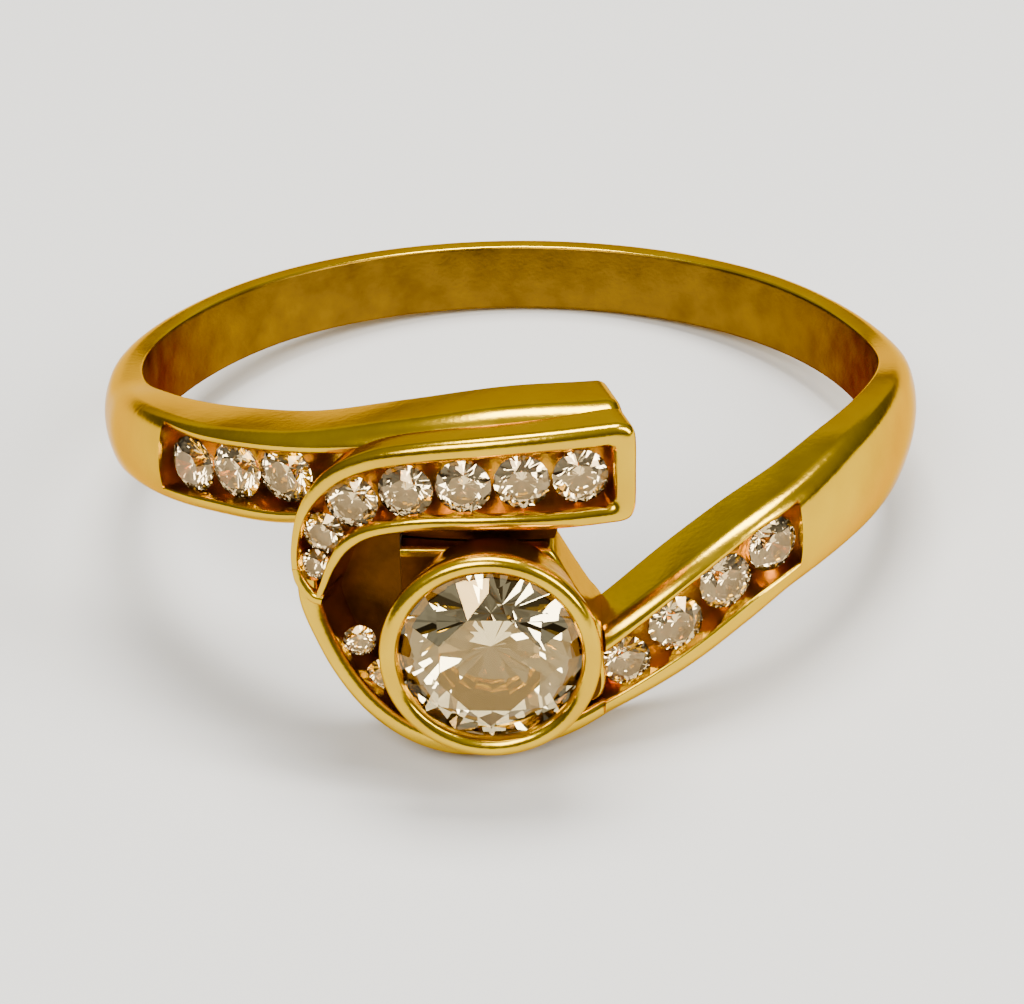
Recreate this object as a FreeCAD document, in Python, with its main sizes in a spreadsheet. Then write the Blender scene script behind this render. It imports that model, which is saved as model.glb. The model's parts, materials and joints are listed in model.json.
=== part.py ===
import FreeCAD, Part
import Sketcher
import os
from math import asin, ceil

# Crossover engagement ring, millimetres.
# The ring is drawn with its finger hole along Z and its head towards -Y. Angles run around the
# hole from the middle of the head (0), positive towards +X. Every sub-part then takes the same
# resting placement, which lays the ring on a table with its lowest point at Z = 0.

doc = FreeCAD.newDocument("CrossoverRing")

# ---------------------------------------------------------------- driving dimensions
DIMENSIONS = {
    "hole_radius": 8.65,
    "rough_hole_radius": 8.40,
    "shank_crown": 0.32,
    "rail_crown": 0.12,
    "channel_floor_radius": 9.25,
    "left_stone_size": 1.30,
    "left_girdle_radius": 9.85,
    "right_stone_size": 1.28,
    "right_end_stone_size": 1.12,
    "right_girdle_radius": 9.85,
    "ribbon_stone_size": 1.18,
    "hook_stone_size": 0.92,
    "hook_end_stone_size": 0.70,
    "ribbon_girdle_radius": 10.66,
    "ribbon_outer_radius": 11.00,
    "ribbon_seat_radius": 10.40,
    "ribbon_floor_radius": 9.90,
    "accent_stone_size": 0.72,
    "accent_table_depth": 10.05,
    "recess_floor_depth": 9.75,
    "apron_depth": 9.50,
    "swirl_outer_depth": 10.90,
    "swirl_inner_radius": 8.90,
    "bezel_height": -0.58,
    "bezel_front_depth": 12.05,
    "bezel_back_depth": 9.85,
    "bezel_rim_radius": 2.32,
    "bezel_back_radius": 1.80,
    "bezel_lip_radius": 1.90,
    "bezel_bore_radius": 1.45,
    "bezel_edge_chamfer": 0.12,
    "bezel_rim_height": 0.50,
    "bezel_lip_above_girdle": 0.22,
    "bezel_seat_above_girdle": 0.15,
    "bezel_seat_below_girdle": 0.03,
    "bezel_bore_below_girdle": 0.55,
    "bezel_seat_clearance": 0.01,
    "centre_stone_size": 3.96,
    "centre_girdle_depth": 11.55,
    "girdle_thickness": 0.035,
    "crown_share": 0.15,
    "pavilion_share": 0.42,
    "table_share": 0.58,
    "rest_pitch": 8.71,
    "rest_roll": 0.85,
    "rest_forward": 1.4242,
    "rest_sideways": -0.0122,
    "rest_lift": 2.2898,
}

sheet = doc.addObject("Spreadsheet::Sheet", "Dimensions")
for row, (name, value) in enumerate(DIMENSIONS.items(), start=1):
    sheet.set(f"A{row}", name)
    sheet.set(f"B{row}", str(value))
    sheet.setAlias(f"B{row}", name)
next_row = len(DIMENSIONS) + 1
doc.recompute()

# Widest angle between two sections of a long band, and how many sections one loft takes.
WIDEST_STEP = 13
SECTIONS_PER_LOFT = 4
# Tools that only have to reach beyond the ring.
BEYOND = 20


def size(name):
    """The value of one cell of the sheet."""
    return float(sheet.get(name))


def add_cell(name, value):
    """Puts one more named size in the sheet and gives the expression that reads it."""
    global next_row
    sheet.set(f"A{next_row}", name)
    sheet.set(f"B{next_row}", str(value))
    sheet.setAlias(f"B{next_row}", name)
    next_row += 1
    return f"Dimensions.{name}"


# ---------------------------------------------------------------- bands lofted around the hole
def section_sketch(body, label, angle, inner, outer, low, high, crown):
    """A D-shaped section in the half plane at one angle round the hole."""
    sketch = body.newObject("Sketcher::SketchObject", label)
    plane = next(item for item in body.Origin.OriginFeatures if item.Role == "XZ_Plane")
    sketch.AttachmentSupport = [(plane, "")]
    sketch.MapMode = "FlatFace"
    turn = FreeCAD.Rotation(FreeCAD.Vector(0, 1, 0), angle - 90)
    sketch.AttachmentOffset = FreeCAD.Placement(FreeCAD.Vector(), turn)

    shoulder = outer - crown
    half = (high - low) / 2
    bow = (half * half + crown * crown) / (2 * crown)
    centre = FreeCAD.Vector(outer - bow, (low + high) / 2, 0)
    corners = [
        FreeCAD.Vector(inner, low, 0),
        FreeCAD.Vector(inner, high, 0),
        FreeCAD.Vector(shoulder, high, 0),
        FreeCAD.Vector(shoulder, low, 0),
    ]
    sketch.addGeometry(Part.LineSegment(corners[0], corners[1]))
    sketch.addGeometry(Part.LineSegment(corners[1], corners[2]))
    spread = asin(half / bow)
    circle = Part.Circle(centre, FreeCAD.Vector(0, 0, 1), bow)
    sketch.addGeometry(Part.ArcOfCircle(circle, -spread, spread))
    sketch.addGeometry(Part.LineSegment(corners[3], corners[0]))
    sketch.addConstraint(Sketcher.Constraint("Coincident", 0, 2, 1, 1))
    sketch.addConstraint(Sketcher.Constraint("Coincident", 1, 2, 2, 2))
    sketch.addConstraint(Sketcher.Constraint("Coincident", 2, 1, 3, 1))
    sketch.addConstraint(Sketcher.Constraint("Coincident", 3, 2, 0, 1))
    sketch.addConstraint(Sketcher.Constraint("Vertical", 0))
    sketch.addConstraint(Sketcher.Constraint("Horizontal", 1))
    sketch.addConstraint(Sketcher.Constraint("Horizontal", 3))
    sketch.addConstraint(Sketcher.Constraint("Vertical", 1, 2, 3, 1))

    named = {
        "inner": Sketcher.Constraint("DistanceX", -1, 1, 0, 1, inner),
        "shoulder": Sketcher.Constraint("DistanceX", -1, 1, 1, 2, shoulder),
        "low": Sketcher.Constraint("DistanceY", -1, 1, 0, 1, low),
        "high": Sketcher.Constraint("DistanceY", -1, 1, 0, 2, high),
        "bow": Sketcher.Constraint("Radius", 2, bow),
    }
    for name, constraint in named.items():
        index = sketch.addConstraint(constraint)
        sketch.renameConstraint(index, name)
    return sketch


def bore_finger_hole(body, label):
    """Cuts the true round finger hole through a band."""
    sketch = body.newObject("Sketcher::SketchObject", f"{label}_hole")
    plane = next(item for item in body.Origin.OriginFeatures if item.Role == "XY_Plane")
    sketch.AttachmentSupport = [(plane, "")]
    sketch.MapMode = "FlatFace"
    circle = Part.Circle(FreeCAD.Vector(), FreeCAD.Vector(0, 0, 1), size("hole_radius"))
    sketch.addGeometry(circle)
    sketch.addConstraint(Sketcher.Constraint("Coincident", 0, 3, -1, 1))
    radius = sketch.addConstraint(Sketcher.Constraint("Radius", 0, size("hole_radius")))
    sketch.renameConstraint(radius, "hole")
    sketch.setExpression("Constraints.hole", "Dimensions.hole_radius")
    pocket = body.newObject("PartDesign::Pocket", f"{label}_bore")
    pocket.Profile = sketch
    pocket.Type = "Length"
    pocket.Length = BEYOND
    pocket.Midplane = True
    doc.recompute()


def filled_in(stations):
    """The stations in order of angle, with even steps added where two are far apart."""
    stations = sorted(stations)
    dense = [stations[0]]
    for before, after in zip(stations, stations[1:]):
        steps = ceil((after[0] - before[0]) / WIDEST_STEP)
        for step in range(1, steps + 1):
            share = step / steps
            dense.append(tuple(a + (b - a) * share for a, b in zip(before, after)))
    return dense


def band(label, crown, stations):
    """A lofted band: stations are (angle, low, high, outer radius) along its length."""
    body = doc.addObject("PartDesign::Body", label)
    body.Label = label
    inner = "rough_hole_radius"
    sketches = []
    for index, (angle, low, high, outer) in enumerate(filled_in(stations), start=1):
        stem = f"{label}_{index}"
        low_cell = add_cell(f"{stem}_low", low)
        high_cell = add_cell(f"{stem}_high", high)
        outer_cell = add_cell(f"{stem}_outer", outer)
        sketch = section_sketch(
            body, f"{stem}_section", angle, size(inner), outer, low, high, size(crown)
        )
        crown_cell = f"Dimensions.{crown}"
        sketch.setExpression("Constraints.inner", f"Dimensions.{inner}")
        sketch.setExpression("Constraints.shoulder", f"{outer_cell} - {crown_cell}")
        sketch.setExpression("Constraints.low", low_cell)
        sketch.setExpression("Constraints.high", high_cell)
        half = f"(({high_cell} - {low_cell}) / 2)"
        sketch.setExpression(
            "Constraints.bow",
            f"({half} * {half} + {crown_cell} * {crown_cell}) / (2 * {crown_cell})",
        )
        sketches.append(sketch)
    for start in range(0, len(sketches) - 1, SECTIONS_PER_LOFT - 1):
        run = sketches[start:start + SECTIONS_PER_LOFT]
        loft = body.newObject("PartDesign::AdditiveLoft", f"{label}_loft_{start + 1}")
        loft.Profile = run[0]
        loft.Sections = run[1:]
    bore_finger_hole(body, label)
    return body


# The plain shank runs from the right shoulder, round the back, to the left shoulder.
shank = band("shank", "shank_crown", [
    (41, -1.15, 1.25, 10.15),
    (55, -0.92, 1.72, 9.90),
    (75, -0.88, 1.72, 9.66),
    (105, -0.88, 1.04, 9.62),
    (140, -0.88, 0.92, 9.65),
    (180, -0.88, 0.88, 9.65),
    (220, -0.88, 0.92, 9.62),
    (255, -0.88, 1.08, 9.60),
    (285, -0.40, 1.66, 9.66),
    (300, 0.15, 2.20, 9.95),
    (313, 0.55, 2.62, 10.20),
])

floor_front = size("channel_floor_radius")
crossover_rail = band("crossover_rail", "rail_crown", [
    (-47, 2.30, 2.62, 10.25),
    (-38, 2.52, 2.90, 10.35),
    (-26, 2.84, 3.25, 10.40),
    (-12, 3.20, 3.78, 10.40),
    (2, 3.48, 4.18, 10.40),
    (16.3, 3.52, 4.20, 10.35),
])
left_lower_rail = band("left_lower_rail", "rail_crown", [
    (-47, 0.55, 0.98, 10.25),
    (-37, 0.84, 1.28, 10.35),
    (-23.5, 1.12, 1.56, 10.40),
])
left_channel_floor = band("left_channel_floor", "rail_crown", [
    (-47, 0.98, 2.30, floor_front),
    (-37, 1.28, 2.54, floor_front),
    (-23.5, 1.56, 2.88, floor_front),
])
right_upper_rail = band("right_upper_rail", "rail_crown", [
    (41, 0.83, 1.25, 10.15),
    (33, 0.46, 0.86, 10.25),
    (24, -0.32, 0.16, 10.30),
    (13.5, -1.56, -0.96, 10.30),
])
right_lower_rail = band("right_lower_rail", "rail_crown", [
    (41, -1.15, -0.45, 10.15),
    (33, -1.62, -0.89, 10.25),
    (24, -2.35, -1.70, 10.30),
    (13.5, -3.15, -2.66, 10.30),
])
right_channel_floor = band("right_channel_floor", "rail_crown", [
    (41, -0.45, 0.83, floor_front),
    (33, -0.89, 0.46, floor_front),
    (24, -1.70, -0.32, floor_front),
    (13.5, -2.66, -1.56, floor_front),
])

# ---------------------------------------------------------------- head pieces cut to a front outline
def curve(points):
    """A smooth edge in the front plane through (x, z) points."""
    spline = Part.BSplineCurve()
    spline.interpolate([FreeCAD.Vector(x, 0, z) for x, z in points])
    return spline.toShape()


def strip(first, second):
    """The face between two curves that run the same way."""
    edges = [curve(first), curve(second)]
    for (x1, z1), (x2, z2) in ((first[0], second[0]), (first[-1], second[-1])):
        edges.append(Part.makeLine(FreeCAD.Vector(x1, 0, z1), FreeCAD.Vector(x2, 0, z2)))
    return Part.Face(Part.Wire(Part.__sortEdges__(edges)))


def shell_between(inner, outer):
    """The space between two cylinders round the finger hole."""
    base = FreeCAD.Vector(0, 0, -BEYOND / 2)
    return Part.makeCylinder(outer, BEYOND, base).cut(Part.makeCylinder(inner, BEYOND, base))


def head_piece(label, face, inner, outer):
    """A front outline carried back through the head and trimmed between two radii."""
    block = face.extrude(FreeCAD.Vector(0, -BEYOND, 0))
    piece = doc.addObject("Part::Feature", label)
    piece.Label = label
    piece.Shape = block.common(shell_between(inner, outer)).removeSplitter()
    return piece


# The ribbon crosses above the bezel from the squared end and hooks down on the left.
ribbon_top = [
    (2.95, 4.12), (1.45, 4.05), (0.0, 3.93), (-1.45, 3.75), (-2.60, 3.48),
    (-3.50, 2.92), (-4.08, 2.05), (-4.29, 1.10), (-4.28, 0.35), (-4.00, -0.10),
]
channel_top = [
    (2.95, 3.64), (1.45, 3.57), (0.0, 3.45), (-1.45, 3.28), (-2.50, 3.04),
    (-3.28, 2.62), (-3.88, 1.90), (-4.12, 1.10), (-4.12, 0.42), (-3.90, -0.06),
]
channel_bottom = [
    (2.95, 2.26), (1.45, 2.22), (0.0, 2.19), (-1.45, 2.10), (-2.55, 1.82),
    (-3.17, 1.40), (-3.50, 0.85), (-3.68, 0.30), (-3.80, -0.08),
]
ribbon_bottom = [
    (2.95, 1.88), (1.45, 1.84), (0.0, 1.82), (-1.45, 1.76), (-2.42, 1.56),
    (-2.98, 1.20), (-3.32, 0.72), (-3.54, 0.22), (-3.70, -0.16),
]
swirl_outside = [
    (-4.28, 0.35), (-4.14, -0.30), (-3.80, -1.05), (-3.35, -1.85), (-2.75, -2.60),
    (-1.95, -3.22), (-1.05, -3.58), (-0.10, -3.68), (0.95, -3.50), (1.80, -3.28), (2.40, -3.05),
]
swirl_inside = [
    (-3.76, 0.18), (-3.62, -0.35), (-3.36, -1.00), (-3.00, -1.65), (-2.48, -2.28),
    (-1.80, -2.80), (-1.00, -3.13), (-0.10, -3.24), (0.95, -3.10), (1.75, -2.84), (2.40, -2.58),
]
gallery_outline = [
    (-1.97, 0.96), (0.95, 0.96), (1.30, 0.78), (1.52, 0.40), (1.98, -0.42), (2.34, -0.88),
    (2.34, -2.55), (1.75, -2.82), (0.95, -3.08), (-0.10, -3.22), (-1.00, -3.11), (-1.80, -2.78),
    (-1.97, -2.66),
]
recess_outline = [
    (-1.99, 1.60), (-2.42, 1.54), (-2.98, 1.18), (-3.32, 0.70), (-3.54, 0.20), (-3.60, -0.35),
    (-3.34, -1.00), (-2.98, -1.64), (-2.46, -2.26), (-1.99, -2.60),
]
squared_end_outline = [
    (2.00, 4.12), (2.78, 4.12), (3.09, 3.84), (3.09, 2.14), (2.78, 1.88), (2.00, 1.88),
]
apron_outline = [(1.55, 1.80), (1.28, 0.98), (-1.97, 0.98), (-1.97, 1.62), (-1.40, 1.73)]
hook_tip_outline = [(-4.30, 0.34), (-3.98, -0.12), (-3.86, -0.14), (-3.66, -0.18), (-3.50, 0.22)]
SQUARED_END = 16.3
END_WALL_TURN = 2.4
MEETS_LEFT_SHOULDER = -23.5
MEETS_RIGHT_SHOULDER = 13.5


def corners(points):
    """A flat face with straight edges through (x, z) points."""
    front = [FreeCAD.Vector(x, 0, z) for x, z in points]
    return Part.Face(Part.makePolygon(front + front[:1]))


def past(angle, side):
    """A block holding everything to one side of an angle round the hole, at the head."""
    length = 2 * BEYOND
    block = Part.makeBox(length, length, length, FreeCAD.Vector(0, -BEYOND, -BEYOND))
    if side < 0:
        block.translate(FreeCAD.Vector(-length, 0, 0))
    block.rotate(FreeCAD.Vector(), FreeCAD.Vector(0, 0, 1), angle)
    return block


def trimmed(piece, *tools):
    """Takes neighbouring solids off a head piece."""
    shape = piece.Shape
    for tool in tools:
        shape = shape.cut(tool)
    piece.Shape = shape.removeSplitter()
    return piece


hole = size("hole_radius")
ribbon_front = size("ribbon_outer_radius")
ribbon_back = size("ribbon_floor_radius")
recess_depth = size("recess_floor_depth")
swirl_back = size("swirl_inner_radius")
beyond_squared_end = past(SQUARED_END, 1)
end_wall_room = past(SQUARED_END - END_WALL_TURN, 1)
beside_end_wall = past(SQUARED_END - END_WALL_TURN, -1)
beyond_head = past(MEETS_RIGHT_SHOULDER, 1)
behind_ribbon = shell_between(1, size("ribbon_seat_radius"))
left_shoulder_room = past(MEETS_LEFT_SHOULDER, -1).common(behind_ribbon)
bands = [
    crossover_rail.Shape, left_lower_rail.Shape, left_channel_floor.Shape, left_shoulder_room,
]

ribbon_upper_rail = trimmed(
    head_piece("ribbon_upper_rail", strip(ribbon_top, channel_top), ribbon_back, ribbon_front),
    end_wall_room, *bands)
ribbon_lower_rail = trimmed(
    head_piece("ribbon_lower_rail", strip(channel_bottom, ribbon_bottom), ribbon_back, ribbon_front),
    end_wall_room, *bands)
ribbon_end_wall = trimmed(
    head_piece("ribbon_end_wall", corners(squared_end_outline), ribbon_back, ribbon_front),
    beyond_squared_end, beside_end_wall, *bands)
ribbon_floor = trimmed(
    head_piece("ribbon_floor", strip(ribbon_top, ribbon_bottom), hole, ribbon_back),
    beyond_squared_end, *bands)
ribbon_apron = trimmed(
    head_piece("ribbon_apron", corners(apron_outline), hole, size("apron_depth")),
    ribbon_floor.Shape)
hook_tip = trimmed(
    head_piece("hook_tip", corners(hook_tip_outline), ribbon_back, ribbon_front),
    ribbon_upper_rail.Shape, ribbon_lower_rail.Shape)

# The swirl's front falls away from the middle of the head to meet the right shoulder.
slope_outline = [(-1.2, -10.90), (0.4, -10.62), (2.6, -10.02), (2.6, -14.0), (-1.2, -14.0)]
slope_corners = [FreeCAD.Vector(x, y, -BEYOND / 2) for x, y in slope_outline]
slope_face = Part.Face(Part.makePolygon(slope_corners + slope_corners[:1]))
swirl_slope = slope_face.extrude(FreeCAD.Vector(0, 0, BEYOND))
swirl_wall = trimmed(
    head_piece("swirl_wall", strip(swirl_outside, swirl_inside), swirl_back,
               size("swirl_outer_depth")),
    hook_tip.Shape, ribbon_floor.Shape, ribbon_lower_rail.Shape, ribbon_upper_rail.Shape,
    beyond_head, swirl_slope)

gallery_front = size("bezel_back_depth")
before_gallery = Part.makeBox(
    2 * BEYOND, BEYOND, 2 * BEYOND, FreeCAD.Vector(-BEYOND, -gallery_front - BEYOND, -BEYOND))
bezel_gallery = trimmed(
    head_piece("bezel_gallery", corners(gallery_outline), hole, gallery_front),
    swirl_wall.Shape, beyond_head, ribbon_apron.Shape, before_gallery)
recess_floor = trimmed(
    head_piece("recess_floor", corners(recess_outline), swirl_back, recess_depth),
    swirl_wall.Shape, ribbon_floor.Shape, ribbon_apron.Shape, bezel_gallery.Shape)


# ---------------------------------------------------------------- bezel cup
def bezel_cup_body():
    """The cup: a cone with a rolled rim, a seat for the stone and an open bore."""
    body = doc.addObject("PartDesign::Body", "bezel_cup")
    body.Label = "bezel_cup"
    sketch = body.newObject("Sketcher::SketchObject", "bezel_profile")
    plane = next(item for item in body.Origin.OriginFeatures if item.Role == "XZ_Plane")
    sketch.AttachmentSupport = [(plane, "")]
    sketch.MapMode = "FlatFace"
    front = size("bezel_front_depth")
    girdle = size("centre_girdle_depth")
    chamfer = size("bezel_edge_chamfer")
    rim = size("bezel_rim_radius")
    seat = size("centre_stone_size") / 2 + size("bezel_seat_clearance")
    worked_out = {
        "bezel_rim_start": front - size("bezel_rim_height"),
        "bezel_rim_end": front - chamfer,
        "bezel_crest_radius": rim - chamfer,
        "bezel_lip_start": front - chamfer,
        "bezel_lip_end": girdle + size("bezel_lip_above_girdle"),
        "bezel_seat_radius": seat,
        "bezel_seat_top": girdle + size("bezel_seat_above_girdle"),
        "bezel_seat_bottom": girdle - size("bezel_seat_below_girdle"),
        "bezel_bore_top": girdle - size("bezel_bore_below_girdle"),
    }
    for name, value in worked_out.items():
        add_cell(name, round(value, 4))
    doc.recompute()
    outline = [
        ("bezel_bore_radius", "bezel_back_depth"),
        ("bezel_back_radius", "bezel_back_depth"),
        ("bezel_rim_radius", "bezel_rim_start"),
        ("bezel_rim_radius", "bezel_rim_end"),
        ("bezel_crest_radius", "bezel_front_depth"),
        ("bezel_lip_radius", "bezel_lip_start"),
        ("bezel_lip_radius", "bezel_lip_end"),
        ("bezel_seat_radius", "bezel_seat_top"),
        ("bezel_seat_radius", "bezel_seat_bottom"),
        ("bezel_bore_radius", "bezel_bore_top"),
    ]
    count = len(outline)
    points = [FreeCAD.Vector(size(radius), size(depth), 0) for radius, depth in outline]
    for index in range(count):
        sketch.addGeometry(Part.LineSegment(points[index], points[(index + 1) % count]))
    for index in range(count):
        sketch.addConstraint(Sketcher.Constraint("Coincident", index, 2, (index + 1) % count, 1))
    for index, (radius, depth) in enumerate(outline):
        for direction, cell in (("DistanceX", radius), ("DistanceY", depth)):
            distance = Sketcher.Constraint(direction, -1, 1, index, 1, size(cell))
            number = sketch.addConstraint(distance)
            sketch.setExpression(f"Constraints[{number}]", f"Dimensions.{cell}")
    turned = body.newObject("PartDesign::Revolution", "bezel_turned")
    turned.Profile = sketch
    turned.ReferenceAxis = (sketch, ["V_Axis"])
    turned.Angle = 360
    doc.recompute()
    return body


bezel_cup = bezel_cup_body()


# ---------------------------------------------------------------- stones
def stone(label, size_name):
    """A round brilliant as a turned solid: pavilion, girdle and crown, table towards local +Z."""
    across = f"Dimensions.{size_name}"
    pavilion = doc.addObject("Part::Cone", f"{label}_pavilion")
    pavilion.Radius1 = 0
    pavilion.setExpression("Radius2", f"{across} / 2")
    pavilion.setExpression("Height", f"{across} * Dimensions.pavilion_share")
    pavilion.setExpression("Placement.Base.z", f"-{across} * Dimensions.pavilion_share")
    girdle = doc.addObject("Part::Cylinder", f"{label}_girdle")
    girdle.setExpression("Radius", f"{across} / 2")
    girdle.setExpression("Height", f"{across} * Dimensions.girdle_thickness")
    crown = doc.addObject("Part::Cone", f"{label}_crown")
    crown.setExpression("Radius1", f"{across} / 2")
    crown.setExpression("Radius2", f"{across} * Dimensions.table_share / 2")
    crown.setExpression("Height", f"{across} * Dimensions.crown_share")
    crown.setExpression("Placement.Base.z", f"{across} * Dimensions.girdle_thickness")
    fused = doc.addObject("Part::MultiFuse", label)
    fused.Label = label
    fused.Shapes = [pavilion, girdle, crown]
    return fused


def facing(x_position, depth, height, angle):
    """Where a stone sits: a point of its girdle plane, with its table turned outwards."""
    outwards = FreeCAD.Vector(0, -1, 0)
    outwards = FreeCAD.Rotation(FreeCAD.Vector(0, 0, 1), angle).multVec(outwards)
    spin = FreeCAD.Rotation(FreeCAD.Vector(0, 0, 1), outwards)
    return FreeCAD.Placement(FreeCAD.Vector(x_position, -depth, height), spin)


def round_the_hole(radius, angle, height):
    """The same for a stone whose axis points away from the middle of the finger hole."""
    turn = FreeCAD.Rotation(FreeCAD.Vector(0, 0, 1), angle)
    base = turn.multVec(FreeCAD.Vector(0, -radius, 0))
    return facing(base.x, -base.y, height, angle)


nodes = [
    shank, crossover_rail, left_lower_rail, left_channel_floor,
    right_upper_rail, right_lower_rail, right_channel_floor,
    ribbon_upper_rail, ribbon_lower_rail, ribbon_end_wall, ribbon_floor, ribbon_apron,
    hook_tip, swirl_wall, recess_floor, bezel_gallery, bezel_cup,
]
places = {"bezel_cup": facing(0, 0, size("bezel_height"), 0)}

centre_stone = stone("centre_stone", "centre_stone_size")
places["centre_stone"] = facing(0, size("centre_girdle_depth"), size("bezel_height"), 0)
nodes.append(centre_stone)

STONE_ROWS = {
    "left": [
        (-42.0, 1.74, "left_stone_size"),
        (-34.2, 1.97, "left_stone_size"),
        (-26.6, 2.19, "left_stone_size"),
    ],
    "right": [
        (37.0, 0.16, "right_stone_size"),
        (29.9, -0.41, "right_stone_size"),
        (23.0, -1.17, "right_stone_size"),
        (16.5, -1.88, "right_end_stone_size"),
    ],
    "ribbon": [
        (10.0, 2.92, "ribbon_stone_size"),
        (3.5, 2.85, "ribbon_stone_size"),
        (-3.0, 2.74, "ribbon_stone_size"),
        (-9.5, 2.57, "ribbon_stone_size"),
        (-15.8, 2.22, "ribbon_stone_size"),
        (-19.4, 1.40, "hook_stone_size"),
        (-20.5, 0.62, "hook_end_stone_size"),
    ],
}
for row_name, spots in STONE_ROWS.items():
    for index, (angle, height, size_name) in enumerate(spots, start=1):
        label = f"{row_name}_stone_{index}"
        nodes.append(stone(label, size_name))
        places[label] = round_the_hole(size(f"{row_name}_girdle_radius"), angle, height)

ACCENTS = [(-2.86, -1.14), (-2.38, -1.93)]
for index, (x_position, height) in enumerate(ACCENTS, start=1):
    label = f"accent_stone_{index}"
    nodes.append(stone(label, "accent_stone_size"))
    places[label] = facing(x_position, size("accent_table_depth"), height, 0)

# ---------------------------------------------------------------- resting placement and export
level = FreeCAD.Placement(
    FreeCAD.Vector(size("rest_sideways"), size("rest_forward"), size("rest_lift")),
    FreeCAD.Rotation(0, size("rest_roll"), -size("rest_pitch")),
)
doc.recompute()
for node in nodes:
    own = places.get(node.Label, FreeCAD.Placement())
    node.Placement = level.multiply(own)
doc.recompute()

for item in doc.Objects:
    if {"Invalid", "Error"} & set(item.State):
        raise RuntimeError(f"{item.Name}: {item.getStatusString()}")
os.makedirs("parts", exist_ok=True)
for node in nodes:
    if node.Shape.isNull() or not node.Shape.isValid():
        raise RuntimeError(f"{node.Label} has no valid shape")
    node.Shape.exportStep(f"parts/{node.Label}.step")
    print(node.Label, len(node.Shape.Solids), round(node.Shape.Volume, 3))
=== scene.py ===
import json
import math

import bmesh
import bpy
from mathutils import Matrix, Vector


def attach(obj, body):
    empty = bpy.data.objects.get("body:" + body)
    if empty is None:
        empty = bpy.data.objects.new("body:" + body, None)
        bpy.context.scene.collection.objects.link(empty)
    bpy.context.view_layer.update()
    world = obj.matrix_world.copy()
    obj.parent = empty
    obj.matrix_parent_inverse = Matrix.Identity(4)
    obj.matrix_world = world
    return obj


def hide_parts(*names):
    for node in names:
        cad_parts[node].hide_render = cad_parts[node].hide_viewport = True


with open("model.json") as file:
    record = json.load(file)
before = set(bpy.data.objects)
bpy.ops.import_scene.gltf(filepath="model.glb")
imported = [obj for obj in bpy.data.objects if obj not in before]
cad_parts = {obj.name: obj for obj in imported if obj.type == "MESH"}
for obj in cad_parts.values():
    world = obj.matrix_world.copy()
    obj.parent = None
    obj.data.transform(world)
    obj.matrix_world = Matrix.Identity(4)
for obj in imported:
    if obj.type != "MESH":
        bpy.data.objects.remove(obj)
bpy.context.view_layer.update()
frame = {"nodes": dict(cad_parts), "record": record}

print("frame loaded:", len(frame["nodes"]), "nodes")

# The ring is drawn round its finger hole, in mm: hole along Z, head towards -Y, angles from the
# middle of the head. ringPlace then lays it down as the frame does.
hole = next(m for m in frame["record"]["mounts"] if m["name"] == "finger_hole")
holeRadius = hole["dims"]["r_mm"]
holeWallMiddle = 0.51  # the hole's wall is taller on the head's top side, so its middle is higher
holeAxis = Vector(hole["axis"]).normalized()
acrossAxis = Vector((holeAxis.z, 0, -holeAxis.x)).normalized()
backAxis = holeAxis.cross(acrossAxis)
ringCentre = Vector(hole["pos_m"]) - holeAxis * holeWallMiddle / 1000
ringPlace = Matrix((acrossAxis, backAxis, holeAxis)).transposed().to_4x4()
ringPlace = Matrix.Translation(ringCentre) @ ringPlace @ Matrix.Scale(0.001, 4)
toRing = ringPlace.inverted()


def around(radius, angle, height):
    # a point from its distance to the hole's axis, its angle in degrees and its height
    turn = math.radians(angle)
    return Vector((radius * math.sin(turn), -radius * math.cos(turn), height))


def smoothList(stations, value):
    # reads a list of (place, number, number, ...) at any place, on a smooth curve through them
    places = [s[0] for s in stations]
    value = min(max(value, places[0]), places[-1])
    last = len(stations) - 2
    at = next((i for i in range(last) if value <= places[i + 1]), last)
    before, after = stations[at], stations[at + 1]
    span = after[0] - before[0]
    share = (value - before[0]) / span
    result = []
    for column in range(1, len(before)):
        slopes = []
        for i in (at, at + 1):
            low, high = max(i - 1, 0), min(i + 1, len(stations) - 1)
            rise = stations[high][column] - stations[low][column]
            slopes.append(rise / (places[high] - places[low]) * span)
        a, b = before[column], after[column]
        t2, t3 = share * share, share ** 3
        result.append(
            (2 * t3 - 3 * t2 + 1) * a + (t3 - 2 * t2 + share) * slopes[0]
            + (3 * t2 - 2 * t3) * b + (t3 - t2) * slopes[1]
        )
    return result


def evenly(first, last, count):
    return [first + (last - first) * i / (count - 1) for i in range(count)]


def roundedInset(distance, radius):
    # how far a rounded edge has drawn back, at a distance from where the edge ends
    if distance >= radius:
        return 0
    return radius - math.sqrt(max(radius ** 2 - (radius - distance) ** 2, 0))


def sweepMesh(name, loops, sharpAngle=38):
    # skins a row of equal closed loops of points, with flat caps
    vertices = [ringPlace @ point for loop in loops for point in loop]
    size, rows = len(loops[0]), len(loops)
    faces = [tuple(reversed(range(size))), tuple(range((rows - 1) * size, rows * size))]
    for row in range(rows - 1):
        here, there = row * size, (row + 1) * size
        for i in range(size):
            j = (i + 1) % size
            faces.append((here + i, here + j, there + j, there + i))
    mesh = bpy.data.meshes.new(name)
    mesh.from_pydata(vertices, [], faces)
    tidyMesh(mesh, sharpAngle)
    return mesh


def tidyMesh(mesh, sharpAngle):
    # closes seams, turns the faces outwards and keeps only real corners sharp
    work = bmesh.new()
    work.from_mesh(mesh)
    bmesh.ops.remove_doubles(work, verts=work.verts, dist=2e-7)
    bmesh.ops.recalc_face_normals(work, faces=work.faces)
    work.to_mesh(mesh)
    work.free()
    if sharpAngle:
        mesh.shade_smooth()
        mesh.set_sharp_from_angle(angle=math.radians(sharpAngle))


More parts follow.
